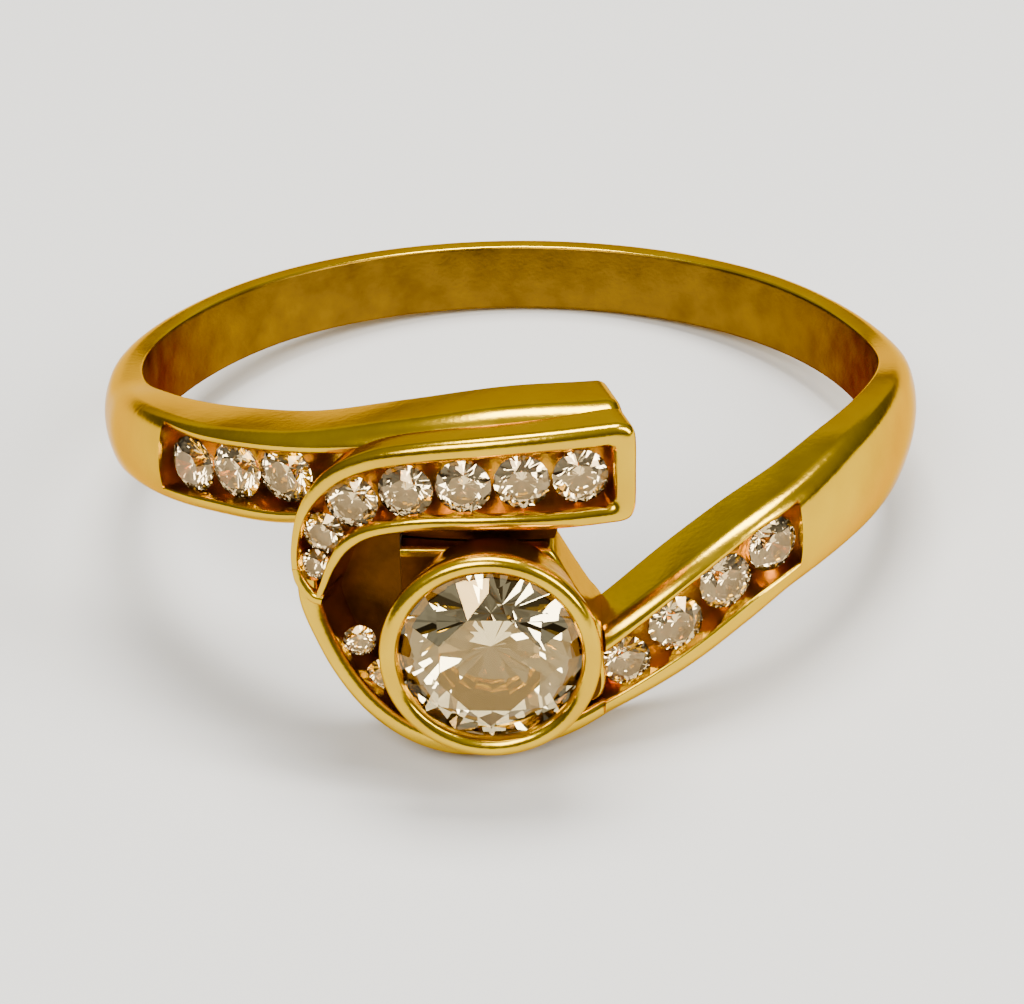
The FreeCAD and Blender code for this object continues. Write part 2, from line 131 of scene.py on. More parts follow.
def addPiece(name, mesh, material, nodes):
    piece = bpy.data.objects.new(name, mesh)
    bpy.context.scene.collection.objects.link(piece)
    mesh.materials.clear()
    mesh.materials.append(material)
    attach(piece, "root")
    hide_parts(*nodes)
    return piece


# ---- materials
def linearColour(code):
    parts = [int(code[i:i + 2], 16) / 255 for i in (1, 3, 5)]
    return [c / 12.92 if c <= 0.04045 else ((c + 0.055) / 1.055) ** 2.4 for c in parts] + [1]


def addNode(tree, kind, settings=None, links=None):
    # a setting is an input's name or number, or else one of the node's own properties
    node = tree.nodes.new(kind)
    for key, value in (settings or {}).items():
        if isinstance(key, int) or key in node.inputs:
            node.inputs[key].default_value = value
        else:
            setattr(node, key, value)
    for key, source in (links or {}).items():
        tree.links.new(source, node.inputs[key])
    return node


def newMaterial(name):
    material = bpy.data.materials.new(name)
    material.use_nodes = True
    material.node_tree.nodes.clear()
    return material, material.node_tree


def finishMaterial(tree, shader):
    addNode(tree, "ShaderNodeOutputMaterial", links={"Surface": shader.outputs[0]})


# patch is how wide a change of tone is and scuff how wide a fine mark is, in mm; glance is the
# tint at a glancing angle.
goldLooks = {
    "polished": {"light": "#E6BE1E", "deep": "#BC900E", "roughness": (0.12, 0.26),
                 "patch": 1.6, "scuff": 0.14, "scuffDepth": 0.004, "glance": "#E9C044"},
    # this look is rougher from wear, and its dark browns are painted shade for the inside of the
    # band
    "wornAndPaintedShade": {"light": "#8E6A16", "deep": "#4C3208", "roughness": (0.26, 0.44),
             "patch": 0.7, "scuff": 0.10, "scuffDepth": 0.010, "glance": "#A87C30"},
    "brightCut": {"light": "#E0A420", "deep": "#A8700E", "roughness": (0.16, 0.28),
                  "patch": 0.6, "scuff": 0.08, "scuffDepth": 0.005, "glance": "#F0C060"},
    # this look's dark browns are painted shade for recesses and for faces under a ledge
    "paintedShade": {"light": "#6C4214", "deep": "#2E1806", "roughness": (0.34, 0.55),
                 "patch": 0.5, "scuff": 0.08, "scuffDepth": 0.008, "glance": "#8A6028"},
}


def goldMaterial(name, look):
    # 18 carat yellow gold, hand buffed: deep lemon yellow, with tone and gloss that drift a
    # little over a millimetre or so and fine marks from wear
    material, tree = newMaterial(name)
    place = addNode(tree, "ShaderNodeTexCoord").outputs["Object"]
    patches = addNode(
        tree, "ShaderNodeTexNoise", {"Scale": 1000 / look["patch"], "Detail": 3.0},
        {"Vector": place})
    scuffs = addNode(
        tree, "ShaderNodeTexNoise", {"Scale": 1000 / look["scuff"], "Detail": 4.0},
        {"Vector": place})
    colour = addNode(tree, "ShaderNodeMix", {
        "data_type": "RGBA", 6: linearColour(look["deep"]), 7: linearColour(look["light"]),
    }, {"Factor": patches.outputs["Fac"]})
    low, high = look["roughness"]
    rough = addNode(
        tree, "ShaderNodeMapRange", {"To Min": low, "To Max": high},
        {"Value": patches.outputs["Fac"]})
    bump = addNode(
        tree, "ShaderNodeBump", {"Strength": 1.0, "Distance": look["scuffDepth"] / 1000},
        {"Height": scuffs.outputs["Fac"]})
    shader = addNode(
        tree, "ShaderNodeBsdfPrincipled",
        {"Metallic": 1.0, "Specular Tint": linearColour(look["glance"])},
        {"Base Color": colour.outputs[2], "Roughness": rough.outputs[0], "Normal": bump.outputs[0]})
    finishMaterial(tree, shader)
    return material


polishedGold = goldMaterial("polishedYellowGold", goldLooks["polished"])
wornAndPaintedShadeGold = goldMaterial("yellowGoldInsideWornAndPaintedShade", goldLooks["wornAndPaintedShade"])
seatGold = goldMaterial("brightCutYellowGoldSeat", goldLooks["brightCut"])
paintedShadeGold = goldMaterial("yellowGoldPaintedRecessShade", goldLooks["paintedShade"])


def diamondMaterial(name, paintedReflectionTint, paintedReflectionSheen):
    # cut diamond: clear and strongly refracting, with the gold round it painted in as a warm
    # reflection in its colour and its gloss
    material, tree = newMaterial(name)
    shader = addNode(tree, "ShaderNodeBsdfPrincipled", {
        "Base Color": linearColour(paintedReflectionTint), "Specular Tint": linearColour(paintedReflectionSheen), "Roughness": 0.0,
        "IOR": 2.417, "Transmission Weight": 1.0,
    })
    finishMaterial(tree, shader)
    return material


centreDiamond = diamondMaterial("cutDiamondCentre", "#FFDC9C", "#FFD284")
sideDiamond = diamondMaterial("cutDiamondSide", "#FFD494", "#FFD698")
print("materials ready")

# ---- shank and shoulders: one flowing band, cut into its pieces
bandShape = {
    # (angle, lower edge, upper edge, outer radius, how much the outside is domed, corner radius)
    "stations": [
        (13.5, -3.12, -0.98, 10.24, 0.14, 0.30), (24, -2.33, 0.14, 10.26, 0.16, 0.34),
        (33, -1.60, 0.84, 10.20, 0.18, 0.34), (41, -1.13, 1.23, 10.10, 0.22, 0.34),
        (55, -0.90, 1.70, 9.86, 0.28, 0.30), (75, -0.86, 1.70, 9.63, 0.30, 0.28),
        (105, -0.86, 1.03, 9.60, 0.30, 0.28), (140, -0.86, 0.91, 9.62, 0.30, 0.28),
        (180, -0.86, 0.87, 9.62, 0.30, 0.28), (220, -0.86, 0.91, 9.60, 0.30, 0.28),
        (255, -0.86, 1.07, 9.58, 0.30, 0.28), (285, -0.39, 1.64, 9.64, 0.30, 0.28),
        (300, 0.16, 2.18, 9.92, 0.28, 0.28), (313, 0.57, 2.60, 10.16, 0.20, 0.28),
        (322, 0.86, 2.88, 10.32, 0.14, 0.28), (334, 1.10, 3.23, 10.37, 0.14, 0.32),
        (348, 1.70, 3.79, 10.38, 0.16, 0.42), (362, 2.10, 4.18, 10.38, 0.18, 0.46),
        (376.2, 2.15, 4.20, 10.36, 0.18, 0.46),
    ],
    "innerEdgeRadius": 0.09,
    "endTurn": 2.1,  # degrees over which the rounded end closes, and its extra sections there
    "endSections": (0.9, 0.7, 0.5, 0.35, 0.2, 0.1, 0.04),
    "insideWearAndShadeDepth": 0.02,
}
channelShape = {
    # (angle, lower and upper edge of the stones' channel)
    "right": [(13.5, -2.66, -1.56), (24, -1.70, -0.32), (33, -0.89, 0.46), (41, -0.45, 0.83)],
    "left": [(313, 0.98, 2.30), (323, 1.28, 2.54), (336.5, 1.56, 2.86), (348, 2.4, 3.20),
             (362, 2.6, 3.56), (376.2, 2.7, 3.66)],
    "floor": 9.25,
    "lowerLipRadius": 0.07,
    "upperLipRadius": 0.20,
    "lipPoints": 7,
    "floorSections": 24,
}


def bandOutline(angle, lowest, highest, inset=0.0, points=34):
    # the band's section at one angle, or the part of it above or below a channel edge
    low, high, outer, crown, corner = smoothList(bandShape["stations"], angle)
    low, high, outer = low + inset, high - inset, outer - inset
    middle, half = (low + high) / 2, (high - low) / 2
    inner = bandShape["innerEdgeRadius"]
    lip = channelShape["lowerLipRadius" if lowest is None else "upperLipRadius"]

    def surface(height):
        share = (height - middle) / half
        return outer - crown * share ** 2 - roundedInset(half - abs(height - middle), corner)

    first = low if lowest is None else lowest + lip
    last = high if highest is None else highest - lip
    turns = [math.asin(max(-1, min(1, (h - middle) / half))) for h in (first, last)]
    heights = [middle + half * math.sin(turn) for turn in evenly(*turns, points)]
    outline = [(surface(height), height) for height in heights]
    bends = evenly(0, math.pi / 2, channelShape["lipPoints"])
    if lowest is None:
        start = [(holeRadius + inner * (1 - math.sin(b)), low + inner * (1 - math.cos(b)))
                 for b in reversed(bends)]
    else:
        edge = outline[0][0]
        start = [(holeRadius, lowest)]
        start += [(edge - lip * (1 - math.sin(b)), lowest + lip * (1 - math.cos(b)))
                  for b in bends[:-1]]
    if highest is None:
        end = [(holeRadius + inner * (1 - math.sin(b)), high - inner * (1 - math.cos(b)))
               for b in bends]
    else:
        edge = outline[-1][0]
        end = [(edge - lip * (1 - math.sin(b)), highest - lip * (1 - math.cos(b)))
               for b in reversed(bends[:-1])]
        end += [(holeRadius, highest)]
    return start + outline + end


def bandLoops(first, last, count, lower, upper, endRadius=0.0):
    loops = []
    angles = evenly(first, last, count)
    if endRadius:  # more sections where the end turns over
        angles += [last - bandShape["endTurn"] * share for share in bandShape["endSections"]]
    for angle in sorted(set(angles)):
        outer = smoothList(bandShape["stations"], angle)[2]
        toEnd = math.radians(last - angle) * outer
        inset = roundedInset(toEnd, endRadius) if endRadius else 0
        lowest = lower(angle) if lower else None
        highest = upper(angle) if upper else None
        outline = bandOutline(angle, lowest, highest, inset)
        loops.append([around(radius, angle, height) for radius, height in outline])
    return loops


def channelEdge(side, column):
    return lambda angle: smoothList(channelShape[side], angle)[column]


def paintInsideWearAndShade(mesh):
    # the side that rubs on the finger is duller and rougher from wear, and its dark brown is painted
    # shade inside the hole
    mesh.materials.append(wornAndPaintedShadeGold)
    for face in mesh.polygons:
        centre = toRing @ face.center
        if math.hypot(centre.x, centre.y) < holeRadius + bandShape["insideWearAndShadeDepth"]:
            face.material_index = 1


bandPieces = [
    ("shank", 41, 313, 220, None, None, 0, "shank"),
    ("rightUpperRail", 13.5, 41, 44, channelEdge("right", 1), None, 0, "right_upper_rail"),
    ("rightLowerRail", 13.5, 41, 44, None, channelEdge("right", 0), 0, "right_lower_rail"),
    ("leftLowerRail", 313, 336.8, 38, None, channelEdge("left", 0), 0, "left_lower_rail"),
    ("crossoverRail", 313, 376.2, 90, channelEdge("left", 1), None, 0.36, "crossover_rail"),
]
for name, first, last, count, lower, upper, endRadius, node in bandPieces:
    mesh = sweepMesh(name, bandLoops(first, last, count, lower, upper, endRadius))
    piece = addPiece(name, mesh, polishedGold, [node])
    paintInsideWearAndShade(piece.data)
print("shank and rails made")

# ---- channel floors, behind the stones
for name, side, first, last, node in [
    ("rightChannelFloor", "right", 13.5, 41, "right_channel_floor"),
    ("leftChannelFloor", "left", 313, 342, "left_channel_floor"),
]:
    loops = []
    for angle in evenly(first, last, channelShape["floorSections"]):
        low, high = smoothList(channelShape[side], angle)
        corners = [(holeRadius, low), (channelShape["floor"], low),
                   (channelShape["floor"], high), (holeRadius, high)]
        loops.append([around(radius, angle, height) for radius, height in corners])
    piece = addPiece(name, sweepMesh(name, loops), seatGold, [node])
    paintInsideWearAndShade(piece.data)

# ---- ribbon: outer and inner edge of its raised frame, seen from the front as (x, height), from
# the hook's tip along the top, down the squared end and back along the bottom
ribbonShape = {
    "front": 10.98,
    "back": 8.75,
    "floor": 9.90,
    "floorBack": 8.66,
    "crown": 0.24,
    "outer": [
        (-3.98, -0.10), (-4.24, 0.35), (-4.27, 1.10), (-4.06, 2.05), (-3.50, 2.90),
        (-2.60, 3.46), (-1.45, 3.74), (0.0, 3.92), (1.45, 4.04), (2.45, 4.10),
        (2.76, 4.09), (2.96, 4.00), (3.04, 3.82), (3.06, 3.50), (3.06, 3.00),
        (3.06, 2.45), (3.04, 2.17), (2.94, 1.96), (2.74, 1.89), (2.45, 1.88),
        (1.45, 1.84), (0.0, 1.82), (-1.45, 1.76), (-2.42, 1.56), (-2.98, 1.20),
        (-3.32, 0.72), (-3.54, 0.22), (-3.70, -0.14),
    ],
    "inner": [
        (-3.90, -0.04), (-4.10, 0.40), (-4.11, 1.10), (-3.87, 1.90), (-3.27, 2.60),
        (-2.50, 3.02), (-1.45, 3.26), (0.0, 3.43), (1.45, 3.55), (2.30, 3.60),
        (2.43, 3.60), (2.52, 3.56), (2.56, 3.48), (2.575, 3.30), (2.575, 2.95),
        (2.575, 2.60), (2.56, 2.42), (2.52, 2.33), (2.43, 2.28), (2.30, 2.27),
        (1.45, 2.23), (0.0, 2.20), (-1.45, 2.11), (-2.55, 1.83), (-3.17, 1.41),
        (-3.49, 0.85), (-3.67, 0.30), (-3.80, -0.06),
    ],
    "stepsBetween": 8,
    "endWallFrom": 9,
    "endWallTo": 19,
    "endMiddle": 14,
    "floorEdge": 0.12,  # how far in from the outer edge the floor's edge hides, as a share
    "floorSections": 110,
}
readingRadius = 11.0
domePower = 2.4


def smoothLine(points, stepsBetween):
    # a smooth line through points
    numbered = [(i, x, height) for i, (x, height) in enumerate(points)]
    count = (len(points) - 1) * stepsBetween + 1
    return [smoothList(numbered, place) for place in evenly(0, len(points) - 1, count)]


def frontPoint(x, height, radius):
    # x is read near the ribbon's front surface, so that side walls point at the hole's axis
    return around(radius, math.degrees(math.asin(x / readingRadius)), height)


def edgeBandLoops(shape, front, across=14):
    # a domed wall between an outer and an inner edge; front gives its height along the way
    outerLine = smoothLine(shape["outer"], shape["stepsBetween"])
    innerLine = smoothLine(shape["inner"], shape["stepsBetween"])
    loops = []
    for place, (o, i) in enumerate(zip(outerLine, innerLine)):
        top = front(place / (len(outerLine) - 1))
        width = math.hypot(o[0] - i[0], o[1] - i[1])
        rise = min(shape["crown"], width * 0.5)
        loop = [frontPoint(*o, shape["back"])]
        for turn in evenly(-math.pi / 2, math.pi / 2, across):
            step = (math.sin(turn) + 1) / 2
            dome = max(1 - abs(math.sin(turn)) ** domePower, 0) ** (1 / domePower)
            x, height = o[0] + (i[0] - o[0]) * step, o[1] + (i[1] - o[1]) * step
            loop.append(frontPoint(x, height, top - rise + rise * dome))
        loop.append(frontPoint(*i, shape["back"]))
        loops.append(loop)
    return loops


ribbonLoops = edgeBandLoops(ribbonShape, lambda share: ribbonShape["front"])
endFrom = ribbonShape["endWallFrom"] * ribbonShape["stepsBetween"]
endTo = ribbonShape["endWallTo"] * ribbonShape["stepsBetween"]
for name, loops, node in [
    ("ribbonUpperRail", ribbonLoops[:endFrom + 1], "ribbon_upper_rail"),
    ("ribbonEndWall", ribbonLoops[endFrom:endTo + 1], "ribbon_end_wall"),
    ("ribbonLowerRail", ribbonLoops[endTo:], "ribbon_lower_rail"),
]:
    addPiece(name, sweepMesh(name, loops), polishedGold, [node])

# the floor plate fills the frame, with its edge hidden just inside the frame's outer walls
inward, endMiddle = ribbonShape["floorEdge"], ribbonShape["endMiddle"]
edgeLine = [(o[0] * (1 - inward) + i[0] * inward, o[1] * (1 - inward) + i[1] * inward)
            for o, i in zip(ribbonShape["outer"], ribbonShape["inner"])]
topLine = smoothLine(edgeLine[:endMiddle + 1], ribbonShape["stepsBetween"])
bottomLine = smoothLine(edgeLine[:endMiddle - 1:-1], ribbonShape["stepsBetween"])
loops = []
for share in evenly(0, 1, ribbonShape["floorSections"])[:-1]:  # the edges meet at the last one
    top = topLine[round(share * (len(topLine) - 1))]
    bottom = bottomLine[round(share * (len(bottomLine) - 1))]
    loops.append([
        frontPoint(*top, ribbonShape["floorBack"]), frontPoint(*top, ribbonShape["floor"]),
        frontPoint(*bottom, ribbonShape["floor"]),
        frontPoint(*bottom, ribbonShape["floorBack"])])
piece = addPiece("ribbonFloor", sweepMesh("ribbonFloor", loops), seatGold, ["ribbon_floor"])
paintInsideWearAndShade(piece.data)

# ---- hook tip: the small polished bar that closes the ribbon's channel
hookShape = {
    "outer": [(-4.28, 0.56), (-4.22, 0.24), (-4.04, -0.02), (-3.86, -0.17), (-3.66, -0.20)],
    "inner": [(-4.10, 0.58), (-4.02, 0.38), (-3.89, 0.20), (-3.76, 0.08), (-3.58, 0.06)],
    "front": 10.99, "back": 9.9, "crown": 0.13, "stepsBetween": 8,
}
addPiece("hookTip", sweepMesh("hookTip", edgeBandLoops(hookShape, lambda share: hookShape["front"])),
         polishedGold, ["hook_tip"])

# ---- swirl wall: round the left of the bezel, from the hook to the right shoulder
swirlShape = {
    "outer": [(-4.26, 0.40), (-4.20, -0.30), (-3.90, -1.05), (-3.46, -1.85), (-2.84, -2.60),
              (-2.00, -3.22), (-1.07, -3.58), (-0.10, -3.67), (0.95, -3.57), (1.85, -3.38),
              (2.52, -3.13), (3.0, -2.90)],
    "inner": [(-3.80, 0.30), (-3.70, -0.35), (-3.44, -1.00), (-3.06, -1.65), (-2.52, -2.28),
              (-1.82, -2.80), (-1.00, -3.13), (-0.10, -3.24), (0.95, -3.14), (1.85, -2.95),
              (2.52, -2.71), (3.0, -2.50)],
    "back": 8.9, "crown": 0.17, "stepsBetween": 10,
    "frontAtHook": 10.88, "frontAtShoulder": 10.02, "fallsFrom": 0.35,
}


def swirlFront(share):
    fall = min(max((share - swirlShape["fallsFrom"]) / (1 - swirlShape["fallsFrom"]), 0), 1)
    fall = fall * fall * (3 - 2 * fall)
    start, end = swirlShape["frontAtHook"], swirlShape["frontAtShoulder"]
    return start + (end - start) * fall


addPiece("swirlWall", sweepMesh("swirlWall", edgeBandLoops(swirlShape, swirlFront)),
         polishedGold, ["swirl_wall"])
print("ribbon and swirl made")

# ---- gallery: the ledge that the bezel stands on, with a rolled front edge
galleryShape = {
    # (height, left and right edge), from the bottom up
    "rows": [
        (-3.21, -0.40, 0.10), (-3.08, -1.05, 0.95), (-2.82, -1.74, 1.75), (-2.55, -1.96, 2.30),
        (-1.7, -1.96, 2.33), (-0.88, -1.96, 2.27), (-0.42, -1.96, 1.98), (0.0, -1.96, 1.74),
        (0.40, -1.96, 1.52), (0.70, -1.96, 1.36), (0.95, -1.96, 1.20),
    ],
    "front": 9.84,
    "edgeRadius": 0.14,
    "topSections": (0.7, 0.45, 0.25, 0.1, 0.03),
    "paintedShadeBelow": 0.76,
    "count": 60,
}


def galleryLoops():
    shape = galleryShape
    top = shape["rows"][-1][0]
    heights = evenly(shape["rows"][0][0], top, shape["count"])
    heights += [top - shape["edgeRadius"] * share for share in shape["topSections"]]
    loops = []
    for height in sorted(set(heights)):
        left, right = smoothList(shape["rows"], height)
        inset = roundedInset(top - height, shape["edgeRadius"])
        front, radius = shape["front"] - inset, shape["edgeRadius"]
        right -= inset
        loop = [Vector((x, -front, height)) for x in evenly(left, right - radius, 10)]
        for bend in evenly(0, math.pi / 2, 6)[1:]:
            loop.append(Vector((
                right - radius * (1 - math.sin(bend)),
                -front + radius * (1 - math.cos(bend)), height)))
        for x in evenly(right, left, 14):
            loop.append(Vector((x, -math.sqrt((holeRadius + 0.01) ** 2 - x * x), height)))
        loops.append(loop)
    return loops


piece = addPiece("bezelGallery", sweepMesh("bezelGallery", galleryLoops()), polishedGold,
                 ["bezel_gallery"])
paintInsideWearAndShade(piece.data)
# the front face below the rolled top edge gets dark gold: painted shade under the ledge
piece.data.materials.append(paintedShadeGold)
for face in piece.data.polygons:
    centre = toRing @ face.center
    if centre.y < -galleryShape["front"] + 0.01 and centre.z < galleryShape["paintedShadeBelow"]:
        face.material_index = 2

# the plain plates behind the bezel keep their CAD shape, and their dark gold is painted shade in the
# recess behind the bezel
for node, material in [("ribbon_apron", paintedShadeGold), ("recess_floor", paintedShadeGold)]:
    plate = frame["nodes"][node]
    for materialSlot in plate.material_slots:
        materialSlot.material = material


# ---- Geometry Nodes: a modifier's result becomes a plain mesh
def newTree(name, inputs):
    tree = bpy.data.node_groups.new(name, "GeometryNodeTree")
    tree.interface.new_socket("Geometry", in_out="INPUT", socket_type="NodeSocketGeometry")
    for socketName, kind in inputs.items():
        tree.interface.new_socket(socketName, in_out="INPUT", socket_type=kind)
    tree.interface.new_socket("Geometry", in_out="OUTPUT", socket_type="NodeSocketGeometry")
    return tree


def liveOutput(node):
    # an attribute node has an output of each type, and only the chosen type's is switched on
    return next(output for output in node.outputs if output.enabled)


def finishTree(tree, start, geometry):
    # every tree ends with real geometry in its own material
    real = addNode(tree, "GeometryNodeRealizeInstances", links={"Geometry": geometry})
    coated = addNode(tree, "GeometryNodeSetMaterial", links={
        "Geometry": real.outputs[0], "Material": start.outputs["Material"]})
    addNode(tree, "NodeGroupOutput", links={"Geometry": coated.outputs[0]})


def meshFromTree(tree, name, base, values):
    holder = bpy.data.objects.new(name + "Base", base)
    bpy.context.scene.collection.objects.link(holder)
    modifier = holder.modifiers.new(name, "NODES")
    modifier.node_group = tree
    for item in tree.interface.items_tree:
        if item.in_out == "INPUT" and item.name in values:
            modifier[item.identifier] = values[item.name]
    depsgraph = bpy.context.evaluated_depsgraph_get()
    mesh = bpy.data.meshes.new_from_object(holder.evaluated_get(depsgraph), depsgraph=depsgraph)
    mesh.name = name
    holder.modifiers.clear()
    bpy.data.objects.remove(holder)
    return mesh


# ---- bezel: a turned cup with a rolled rim, its axis pointing out of the head
bezelShape = {
    "height": -0.58,
    "profile": [  # (radius, distance in front of the hole's axis)
        (1.46, 9.87), (1.80, 9.87), (1.90, 10.20), (2.01, 10.70), (2.12, 11.10), (2.21, 11.38),
        (2.28, 11.60), (2.308, 11.74), (2.312, 11.84), (2.295, 11.92), (2.255, 11.985),
        (2.195, 12.025), (2.125, 12.04), (2.055, 12.03), (1.99, 12.00), (1.94, 11.95),
        (1.912, 11.88), (1.905, 11.79), (1.99, 11.71), (1.992, 11.53), (1.46, 11.00),
    ],
    "segments": 144,
    "sharpAngle": 50,
}


def turnedTree():
    # turns a closed profile, given as a mesh outline, all the way round Z
    tree = newTree("turnedCup", {
        "Segments": "NodeSocketInt", "Material": "NodeSocketMaterial"})
    start = addNode(tree, "NodeGroupInput")
    profile = addNode(tree, "GeometryNodeMeshToCurve", links={"Mesh": start.outputs["Geometry"]})
    path = addNode(tree, "GeometryNodeCurvePrimitiveCircle", {"Radius": 1e-6},
                   {"Resolution": start.outputs["Segments"]})
    turned = addNode(tree, "GeometryNodeCurveToMesh", links={
        "Curve": path.outputs["Curve"], "Profile Curve": profile.outputs["Curve"]})
    finishTree(tree, start, turned.outputs["Mesh"])
    return tree


profile = bezelShape["profile"]
profileMesh = bpy.data.meshes.new("bezelProfile")
profileMesh.from_pydata(
    [(radius / 1000, -depth / 1000, 0) for radius, depth in profile],
    [(i, (i + 1) % len(profile)) for i in range(len(profile))], [])
mesh = meshFromTree(turnedTree(), "bezelCup", profileMesh, {
    "Segments": bezelShape["segments"], "Material": polishedGold})
faceOut = Matrix.Rotation(math.radians(90), 4, "X")
mesh.transform(ringPlace @ Matrix.Translation((0, 0, bezelShape["height"])) @ faceOut
               @ Matrix.Scale(1000, 4))
tidyMesh(mesh, bezelShape["sharpAngle"])
addPiece("bezelCup", mesh, polishedGold, ["bezel_cup"])
print("bezel turned")

# ---- stones
brilliantShape = {
    "girdle": 0.035, "crown": 0.15, "pavilion": 0.42, "table": 0.57,
    "starRadius": 0.392, "starRise": 0.56, "mainRadius": 0.11, "mainDepth": 0.78,
}


def brilliantMesh():
    # a round brilliant, one unit across: 33 crown and 24 pavilion facets, table towards +Z
    shape = brilliantShape

    def ring(radius, height, count, offset=0.0):
        turns = [2 * math.pi * (i + offset) / count for i in range(count)]
        return [(radius * math.cos(turn), radius * math.sin(turn), height) for turn in turns]

    vertices = ring(shape["table"] / 2, shape["girdle"] + shape["crown"], 8)
    vertices += ring(shape["starRadius"], shape["girdle"] + shape["crown"] * shape["starRise"],
                     8, 0.5)
    vertices += ring(0.5, shape["girdle"], 16) + ring(0.5, 0, 16)
    vertices += ring(shape["mainRadius"], -shape["pavilion"] * shape["mainDepth"], 8, 0.5)
    vertices.append((0, 0, -shape["pavilion"]))
    table, star, upper, lower, main, culet = 0, 8, 16, 32, 48, 56
    faces = [tuple(range(8))]
    for i in range(8):
        following, previous = (i + 1) % 8, (i - 1) % 8
        even, odd, nextEven = 2 * i, 2 * i + 1, (2 * i + 2) % 16
        faces += [
            (table + i, star + i, table + following),
            (table + i, star + previous, upper + even, star + i),
            (star + i, upper + even, upper + odd),
            (star + i, upper + odd, upper + nextEven),
            (lower + even, main + previous, culet, main + i),
            (main + i, lower + odd, lower + even),
            (main + i, lower + nextEven, lower + odd),
        ]
    for i in range(16):
        j = (i + 1) % 16
        faces.append((upper + i, lower + i, lower + j, upper + j))
    mesh = bpy.data.meshes.new("brilliant")
    mesh.from_pydata(vertices, [], faces)
    tidyMesh(mesh, None)
    return mesh


def stoneRowTree():
    # sets one cut stone on every point, by the point's own turn and width
    tree = newTree("stoneRow", {
        "Cut stone": "NodeSocketObject", "Material": "NodeSocketMaterial"})
    start = addNode(tree, "NodeGroupInput")
    stone = addNode(tree, "GeometryNodeObjectInfo", links={"Object": start.outputs["Cut stone"]})
    turn = addNode(tree, "GeometryNodeInputNamedAttribute",
                   {"data_type": "FLOAT_VECTOR", "Name": "turn"})
    width = addNode(tree, "GeometryNodeInputNamedAttribute",
                    {"data_type": "FLOAT", "Name": "width"})
    turnValue = addNode(tree, "FunctionNodeEulerToRotation", links={0: liveOutput(turn)})
    row = addNode(tree, "GeometryNodeInstanceOnPoints", links={
        "Points": start.outputs["Geometry"], "Instance": stone.outputs["Geometry"],
        "Rotation": turnValue.outputs[0], "Scale": liveOutput(width)})
    finishTree(tree, start, row.outputs["Instances"])
    return tree


# (angle, height, width) of each stone, on the row's girdle radius; spin keeps the facets of
# neighbours from lining up
stoneRows = {
    "left": {"girdle": 9.85, "spin": 17, "places": [
        (-42.0, 1.74, 1.29), (-34.2, 1.97, 1.29), (-26.6, 2.19, 1.29)]},
    "right": {"girdle": 9.85, "spin": 23, "places": [
        (37.0, 0.16, 1.27), (29.9, -0.41, 1.27), (23.0, -1.17, 1.27), (16.5, -1.88, 1.11)]},
    "ribbon": {"girdle": 10.66, "spin": 13, "places": [
        (10.0, 2.92, 1.18), (3.5, 2.85, 1.18), (-3.0, 2.74, 1.18), (-9.5, 2.57, 1.18),
        (-15.8, 2.22, 1.17), (-19.4, 1.40, 0.92), (-20.5, 0.62, 0.70)]},
    "accent": {"front": 10.05, "spin": 11, "places": [(-2.86, -1.14, 0.71), (-2.38, -1.93, 0.71)]},
    "centre": {"front": 11.55, "spin": 22.5, "places": [(0.0, -0.58, 3.95)]},
}
cutStone = bpy.data.objects.new("cutStone", brilliantMesh())
rowTree = stoneRowTree()
for row, shape in stoneRows.items():
    places = []
    for number, (along, height, width) in enumerate(shape["places"], start=1):
        if "girdle" in shape:
            spot, angle = around(shape["girdle"], along, height), along
        else:
            spot, angle = Vector((along, -shape["front"], height)), 0
        spin = Matrix.Rotation(math.radians(shape["spin"] * number), 4, "Z")
        turned = Matrix.Rotation(math.radians(angle), 4, "Z") @ faceOut @ spin
        places.append((ringPlace @ spot, (ringPlace.to_quaternion().to_matrix().to_4x4()
                                          @ turned).to_euler(), width / 1000))
    points = bpy.data.meshes.new(row + "Spots")
    points.from_pydata([spot for spot, turn, width in places], [], [])
    points.attributes.new("turn", "FLOAT_VECTOR", "POINT")
    points.attributes.new("width", "FLOAT", "POINT")
    for i, (spot, turn, width) in enumerate(places):
        points.attributes["turn"].data[i].vector = turn
        points.attributes["width"].data[i].value = width
    material = centreDiamond if row == "centre" else sideDiamond
    mesh = meshFromTree(rowTree, row + "Stones", points, {
        "Cut stone": cutStone, "Material": material})
    if row == "centre":
        addPiece("centreStone", mesh, material, ["centre_stone"])
    else:
        nodes = [f"{row}_stone_{number}" for number in range(1, len(places) + 1)]
        addPiece(row + "Stones", mesh, material, nodes)
bpy.data.objects.remove(cutStone)
print("stones set")

# ---- floor, light and camera
stageShape = {
    "floorColour": "#CFCCC5",
    "floorSize": 2.0,
    "horizon": "#74767A",
    "overhead": "#D8DCE2",
    "strength": 0.55,
}
world = bpy.data.worlds.new("studio")
world.use_nodes = True
bpy.context.scene.world = world
tree = world.node_tree
tree.nodes.clear()
direction = addNode(tree, "ShaderNodeTexCoord").outputs["Generated"]
parts = addNode(tree, "ShaderNodeSeparateXYZ", links={0: direction})
upwards = addNode(tree, "ShaderNodeMapRange", {
    "interpolation_type": "SMOOTHSTEP", "From Min": 0.0, "From Max": 0.95},
    {"Value": parts.outputs["Z"]})
sky = addNode(tree, "ShaderNodeMix", {
    "data_type": "RGBA", 6: linearColour(stageShape["horizon"]),
    7: linearColour(stageShape["overhead"])}, {"Factor": upwards.outputs[0]})
background = addNode(tree, "ShaderNodeBackground", {"Strength": stageShape["strength"]},
                     {"Color": sky.outputs[2]})
addNode(tree, "ShaderNodeOutputWorld", links={"Surface": background.outputs[0]})

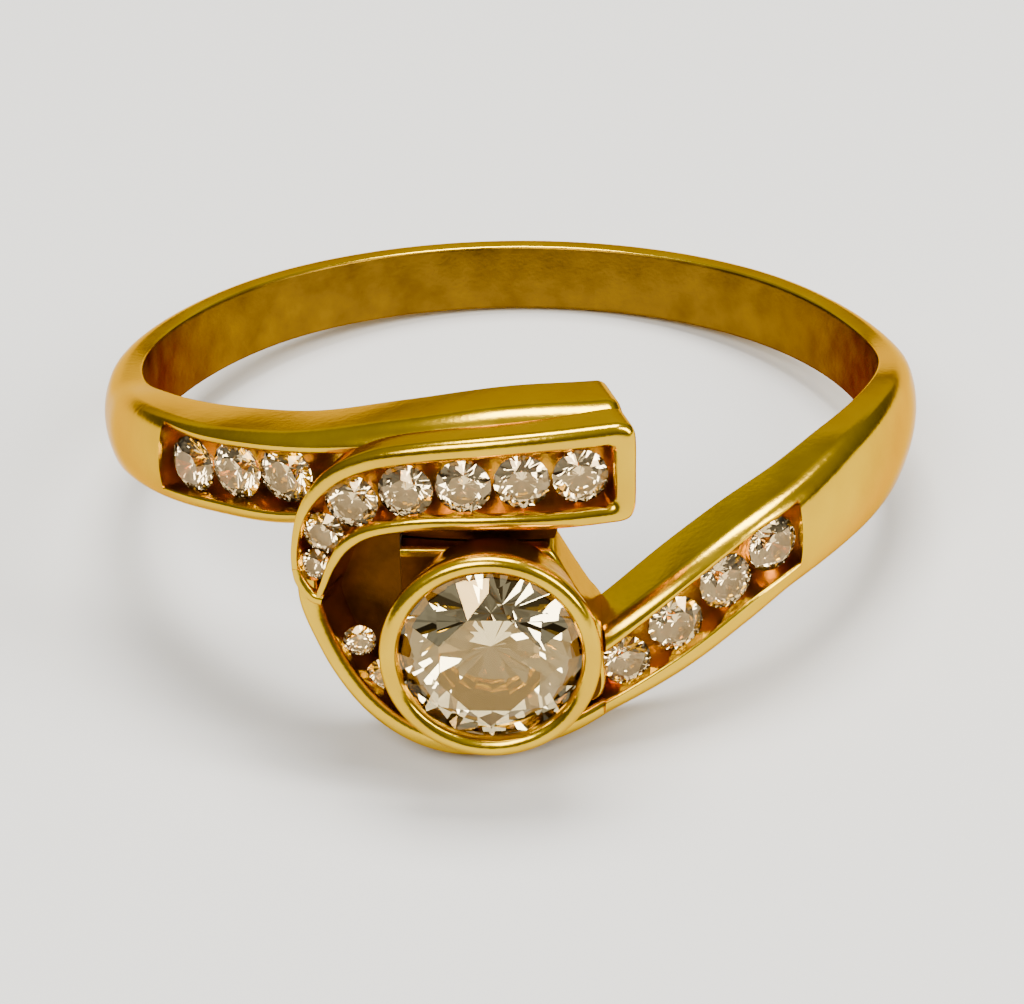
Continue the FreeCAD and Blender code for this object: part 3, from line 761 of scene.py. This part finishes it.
half = stageShape["floorSize"] / 2
floorMesh = bpy.data.meshes.new("floor")
floorMesh.from_pydata([(-half, -half, 0), (half, -half, 0), (half, half, 0), (-half, half, 0)],
                      [], [(0, 1, 2, 3)])
floor = bpy.data.objects.new("floor", floorMesh)
bpy.context.scene.collection.objects.link(floor)
floorMaterial, tree = newMaterial("paleMattePaper")
finishMaterial(tree, addNode(tree, "ShaderNodeBsdfPrincipled", {
    "Base Color": linearColour(stageShape["floorColour"]), "Roughness": 0.85}))
floorMesh.materials.append(floorMaterial)

# (name, place in mm, width and height in mm, watts)
lamps = [
    ("overheadSoftbox", (10, 70, 260), 150, 100, 1.45),
    ("keySoftbox", (-70, -170, 200), 130, 110, 0.85),
    ("rightStrip", (160, -60, 120), 40, 150, 0.55),
    ("backCard", (-20, 250, 80), 320, 110, 0.06),
]
aimPoint = Vector((0, 0, 0.002))
for name, place, width, height, watts in lamps:
    light = bpy.data.lights.new(name, "AREA")
    light.shape, light.size, light.size_y = "RECTANGLE", width / 1000, height / 1000
    light.energy = watts
    lamp = bpy.data.objects.new(name, light)
    lamp.location = Vector(place) / 1000
    lamp.rotation_euler = (aimPoint - lamp.location).to_track_quat("-Z", "Y").to_euler()
    bpy.context.scene.collection.objects.link(lamp)

cameraShape = {
    "azimuth": 3.18, "elevation": 33.31, "roll": -2.20, "distance": 80.0, "lens": 116.3,
    "lookAt": (-0.053, 1.045, -0.185),
}
view = bpy.data.cameras.new("camera")
view.lens = cameraShape["lens"]
view.clip_start = 0.005
camera = bpy.data.objects.new("camera", view)
azimuth, elevation = (math.radians(cameraShape[key]) for key in ("azimuth", "elevation"))
backwards = Vector((
    math.sin(azimuth) * math.cos(elevation), -math.cos(azimuth) * math.cos(elevation),
    math.sin(elevation)))
aim = (-backwards).to_track_quat("-Z", "Y").to_matrix().to_4x4()
roll = Matrix.Rotation(math.radians(cameraShape["roll"]), 4, "Z")
seat = (Vector(cameraShape["lookAt"]) + backwards * cameraShape["distance"]) / 1000
camera.matrix_world = Matrix.Translation(seat) @ aim @ roll
bpy.context.scene.collection.objects.link(camera)
bpy.context.scene.camera = camera
print("stage ready")

bpy.context.view_layer.update()
